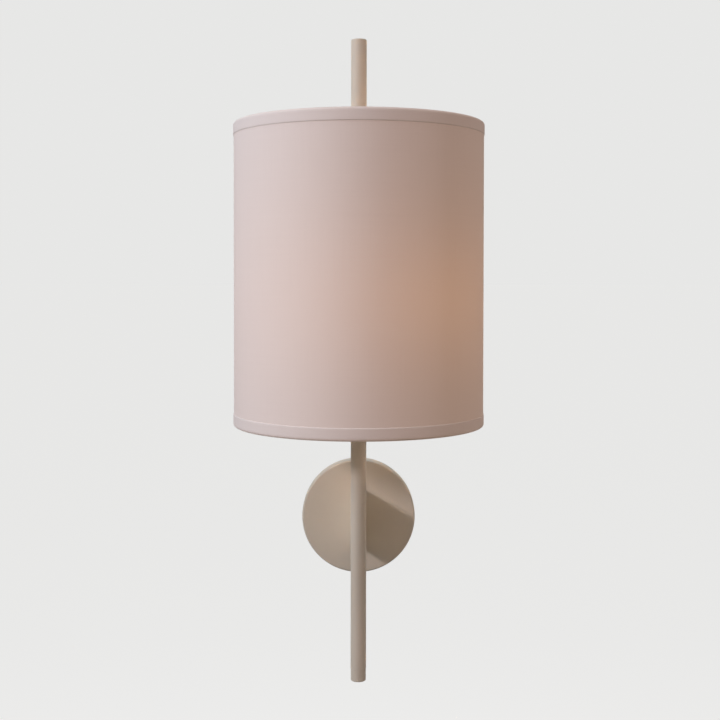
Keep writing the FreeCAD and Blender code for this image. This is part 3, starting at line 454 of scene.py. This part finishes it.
def seen_directly(tree, path):
    """1 where the camera, a reflection or a look through glass meets the surface."""
    return math_node(tree, "MAXIMUM", path.outputs["Is Camera Ray"],
                     math_node(tree, "MAXIMUM", path.outputs["Is Glossy Ray"],
                               path.outputs["Is Transmission Ray"]))


def stage():
    low = CAD_BOX[0][2] - FLOOR_DROP
    bpy.ops.mesh.primitive_plane_add(size=400.0, location=(0, 0, low))
    floor = bpy.context.object
    floor.name = "floor"
    mat, tree, shader = material("floor")
    shader.inputs["Base Color"].default_value = (0.20, 0.20, 0.197, 1)
    shader.inputs["Roughness"].default_value = 0.9
    shader.inputs["Specular IOR Level"].default_value = 0.0
    glow = tree.nodes.new("ShaderNodeEmission")
    glow.inputs["Color"].default_value = (*BACKDROP, 1)
    path = tree.nodes.new("ShaderNodeLightPath")
    tree.links.new(math_node(tree, "MULTIPLY", seen_directly(tree, path), FLOOR_GLOW),
                   glow.inputs["Strength"])
    both = tree.nodes.new("ShaderNodeAddShader")
    tree.links.new(shader.outputs[0], both.inputs[0])
    tree.links.new(glow.outputs[0], both.inputs[1])
    tree.links.new(both.outputs[0], tree.nodes["Material Output"].inputs["Surface"])
    floor.data.materials.append(mat)


def world():
    scene_world = bpy.data.worlds.new("studio")
    bpy.context.scene.world = scene_world
    scene_world.use_nodes = True
    tree = scene_world.node_tree
    soft = tree.nodes["Background"]
    soft.inputs["Color"].default_value = (1.0, 0.95, 0.90, 1)
    soft.inputs["Strength"].default_value = 0.075
    pale = tree.nodes.new("ShaderNodeBackground")
    pale.inputs["Color"].default_value = (*BACKDROP, 1)
    pale.inputs["Strength"].default_value = 1.0
    path = tree.nodes.new("ShaderNodeLightPath")
    blend = tree.nodes.new("ShaderNodeMixShader")
    tree.links.new(seen_directly(tree, path), blend.inputs[0])
    tree.links.new(soft.outputs[0], blend.inputs[1])
    tree.links.new(pale.outputs[0], blend.inputs[2])
    tree.links.new(blend.outputs[0], tree.nodes["World Output"].inputs["Surface"])


# name, degrees right of the front, degrees up, watts, colour, width in metres
LIGHTS = [
    ("key_side", -75, 25, 15.0, (0.74, 0.85, 1.0), 0.8),
    ("key_front", -45, 19, 13.2, (1.0, 0.84, 0.87), 0.25),
    ("high_left", -50, 70, 8.0, (0.92, 0.96, 1.0), 0.8),
    ("high_right", 40, 50, 5.5, (1.0, 0.70, 0.68), 0.8),
    ("rim_right", 90, 5, 8.0, (1.0, 0.78, 0.68), 0.8),
    ("bounce", -20, -30, 6.5, (1.0, 0.84, 0.73), 1.6),
    ("back", 180, 25, 7.0, (0.96, 0.98, 1.0), 0.8),
]
LIGHT_DISTANCE = 2.2


def area_light(name, bearing, height, power, colour, size):
    """A soft light aimed at the middle of the part."""
    data = bpy.data.lights.new(name, "AREA")
    data.shape = "DISK"
    data.size = size
    data.energy = power
    data.color = colour
    light = bpy.data.objects.new(name, data)
    aim = AXIS + Vector((0, 0, (CAD_BOX[0][2] + CAD_BOX[1][2]) / 2))
    turn, rise = math.radians(bearing), math.radians(height)
    way = -Vector((math.sin(turn) * math.cos(rise), -math.cos(turn) * math.cos(rise),
                   math.sin(rise)))
    light.location = aim - way * LIGHT_DISTANCE
    light.rotation_euler = way.to_track_quat("-Z", "Y").to_euler()
    bpy.context.scene.collection.objects.link(light)


def lamp_light():
    """The bulb's light, from a small ball inside the glass."""
    data = bpy.data.lights.new("bulb_light", "POINT")
    data.energy = 0.24
    data.color = (1.0, 0.62, 0.40)
    data.shadow_soft_size = 0.02
    light = bpy.data.objects.new("bulb_light", data)
    light.location = BULB_GLOBE
    bpy.context.scene.collection.objects.link(light)


def camera():
    """The photograph's viewpoint: level with the lower half of the shade, turned slightly down."""
    focal_px = 1138.07
    frame_px = 720.0
    optical_row = 300.7
    data = bpy.data.cameras.new("camera")
    data.sensor_width = 36.0
    data.lens = focal_px / frame_px * data.sensor_width
    data.shift_x = 0.0015
    data.shift_y = (optical_row - frame_px / 2) / frame_px
    view = bpy.data.objects.new("camera", data)
    view.location = (0.0002, -1.2972, 0.2699)
    view.rotation_euler = Euler((math.pi / 2 - 0.021, -0.0011, 0.0), "XYZ")
    bpy.context.scene.collection.objects.link(view)
    bpy.context.scene.camera = view


bpy.context.scene.view_settings.view_transform = "Standard"
camera()
world()
stage()
for light in LIGHTS:
    area_light(*light)
lamp_light()
dress_nodes()
for clear in ("bulb_glass", "bulb_stem"):
    frame["nodes"][clear].visible_shadow = False
cloth_piece()
trim_piece("top_trim", top_high.z, 1, "top_hem")
trim_piece("bottom_trim", bottom_low.z, -1, "bottom_hem")
